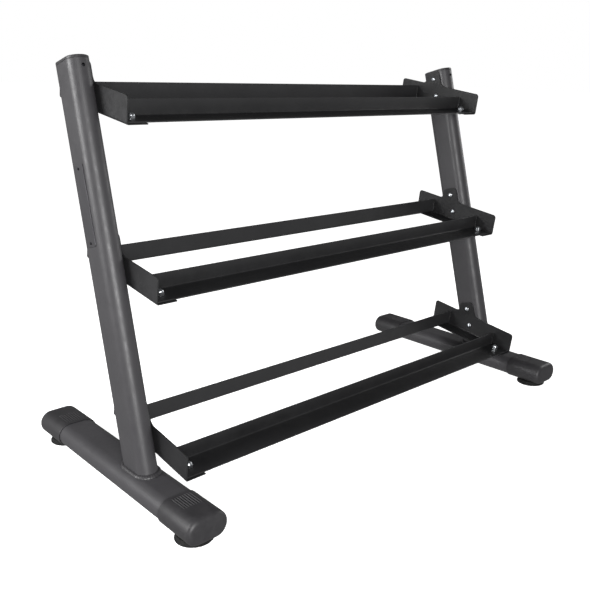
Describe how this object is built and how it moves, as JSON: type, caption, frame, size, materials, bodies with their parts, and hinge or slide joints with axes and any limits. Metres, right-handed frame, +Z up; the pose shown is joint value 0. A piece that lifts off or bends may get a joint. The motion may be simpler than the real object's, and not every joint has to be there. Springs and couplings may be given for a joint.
{
  "type": "dumbbell rack",
  "caption": "Free-standing dumbbell rack: leaning flat-oval uprights on foot beams carry tilted tiers of angle rails, on screw-adjustable levelling feet.",
  "frame": {"origin": "on the floor in the middle of the footprint", "axes": "+X along the rails to the user's right, +Y to the rear, +Z up; the user stands on the -Y side"},
  "size_m": [1.295, 0.6626, 0.9218],
  "materials": {
    "frame_powder_coat": "satin charcoal powder coat with a fine texture",
    "shelf_powder_coat": "satin black powder coat with a fine texture",
    "zinc_plated_steel": "bright zinc plating",
    "black_oxide_steel": "black oxide",
    "black_polypropylene": "moulded, fine matt texture",
    "black_rubber": "matt moulded rubber",
    "name_plate_aluminium": "painted charcoal, left blank"
  },
  "bodies": {
    "frame": {"foot_beam_left": "frame_powder_coat", "upright_left": "frame_powder_coat", "weld_bead_left": "frame_powder_coat", "top_cap_left": "black_polypropylene", "top_cap_screw_left": "black_oxide_steel", "name_plate_left": "name_plate_aluminium", "end_sleeve_front_left": "black_polypropylene", "end_sleeve_rear_left": "black_polypropylene", "foot_beam_right": "frame_powder_coat", "upright_right": "frame_powder_coat", "weld_bead_right": "frame_powder_coat", "top_cap_right": "black_polypropylene", "top_cap_screw_right": "black_oxide_steel", "name_plate_right": "name_plate_aluminium", "end_sleeve_front_right": "black_polypropylene", "end_sleeve_rear_right": "black_polypropylene", "rail_bottom_front": "shelf_powder_coat", "rail_bottom_rear": "shelf_powder_coat", "bracket_bottom_left": "shelf_powder_coat", "bracket_bottom_right": "shelf_powder_coat", "rail_bolt_bottom_front_left": "zinc_plated_steel", "rail_bolt_bottom_front_right": "zinc_plated_steel", "rail_bolt_bottom_rear_left": "zinc_plated_steel", "rail_bolt_bottom_rear_right": "zinc_plated_steel", "rail_nut_bottom_front_left": "zinc_plated_steel", "rail_nut_bottom_front_right": "zinc_plated_steel", "rail_nut_bottom_rear_left": "zinc_plated_steel", "rail_nut_bottom_rear_right": "zinc_plated_steel", "rail_middle_front": "shelf_powder_coat", "rail_middle_rear": "shelf_powder_coat", "bracket_middle_left": "shelf_powder_coat", "bracket_middle_right": "shelf_powder_coat", "rail_bolt_middle_front_left": "zinc_plated_steel", "rail_bolt_middle_front_right": "zinc_plated_steel", "rail_bolt_middle_rear_left": "zinc_plated_steel", "rail_bolt_middle_rear_right": "zinc_plated_steel", "rail_nut_middle_front_left": "zinc_plated_steel", "rail_nut_middle_front_right": "zinc_plated_steel", "rail_nut_middle_rear_left": "zinc_plated_steel", "rail_nut_middle_rear_right": "zinc_plated_steel", "rail_top_front": "shelf_powder_coat", "rail_top_rear": "shelf_powder_coat", "bracket_top_left": "shelf_powder_coat", "bracket_top_right": "shelf_powder_coat", "rail_bolt_top_front_left": "zinc_plated_steel", "rail_bolt_top_front_right": "zinc_plated_steel", "rail_bolt_top_rear_left": "zinc_plated_steel", "rail_bolt_top_rear_right": "zinc_plated_steel", "rail_nut_top_front_left": "zinc_plated_steel", "rail_nut_top_front_right": "zinc_plated_steel", "rail_nut_top_rear_left": "zinc_plated_steel", "rail_nut_top_rear_right": "zinc_plated_steel"},
    "pad_front_left": {"foot_pad_front_left": "black_rubber"},
    "stud_front_left": {"foot_stud_front_left": "zinc_plated_steel"},
    "pad_front_right": {"foot_pad_front_right": "black_rubber"},
    "stud_front_right": {"foot_stud_front_right": "zinc_plated_steel"},
    "pad_rear_left": {"foot_pad_rear_left": "black_rubber"},
    "stud_rear_left": {"foot_stud_rear_left": "zinc_plated_steel"},
    "pad_rear_right": {"foot_pad_rear_right": "black_rubber"},
    "stud_rear_right": {"foot_stud_rear_right": "zinc_plated_steel"}
  },
  "joints": [
    {"name": "foot_travel_front_left", "type": "slide", "parent": "frame", "child": "pad_front_left", "axis": [0, 0, -1], "range_m": [0, 0.012]},
    {"name": "stud_turn_front_left", "type": "hinge", "parent": "pad_front_left", "child": "stud_front_left", "pos_m": [-0.6, -0.28, 0.02], "axis": [0, 0, -1], "range_deg": [0, 2880]},
    {"name": "foot_travel_front_right", "type": "slide", "parent": "frame", "child": "pad_front_right", "axis": [0, 0, -1], "range_m": [0, 0.012]},
    {"name": "stud_turn_front_right", "type": "hinge", "parent": "pad_front_right", "child": "stud_front_right", "pos_m": [0.6, -0.28, 0.02], "axis": [0, 0, -1], "range_deg": [0, 2880]},
    {"name": "foot_travel_rear_left", "type": "slide", "parent": "frame", "child": "pad_rear_left", "axis": [0, 0, -1], "range_m": [0, 0.012]},
    {"name": "stud_turn_rear_left", "type": "hinge", "parent": "pad_rear_left", "child": "stud_rear_left", "pos_m": [-0.6, 0.28, 0.02], "axis": [0, 0, -1], "range_deg": [0, 2880]},
    {"name": "foot_travel_rear_right", "type": "slide", "parent": "frame", "child": "pad_rear_right", "axis": [0, 0, -1], "range_m": [0, 0.012]},
    {"name": "stud_turn_rear_right", "type": "hinge", "parent": "pad_rear_right", "child": "stud_rear_right", "pos_m": [0.6, 0.28, 0.02], "axis": [0, 0, -1], "range_deg": [0, 2880]}
  ],
  "couplings": [
    {"joint": "stud_turn_front_left", "follows": "foot_travel_front_left", "rad_per_m": 4188.7},
    {"joint": "stud_turn_front_right", "follows": "foot_travel_front_right", "rad_per_m": 4188.7},
    {"joint": "stud_turn_rear_left", "follows": "foot_travel_rear_left", "rad_per_m": 4188.7},
    {"joint": "stud_turn_rear_right", "follows": "foot_travel_rear_right", "rad_per_m": 4188.7}
  ]
}
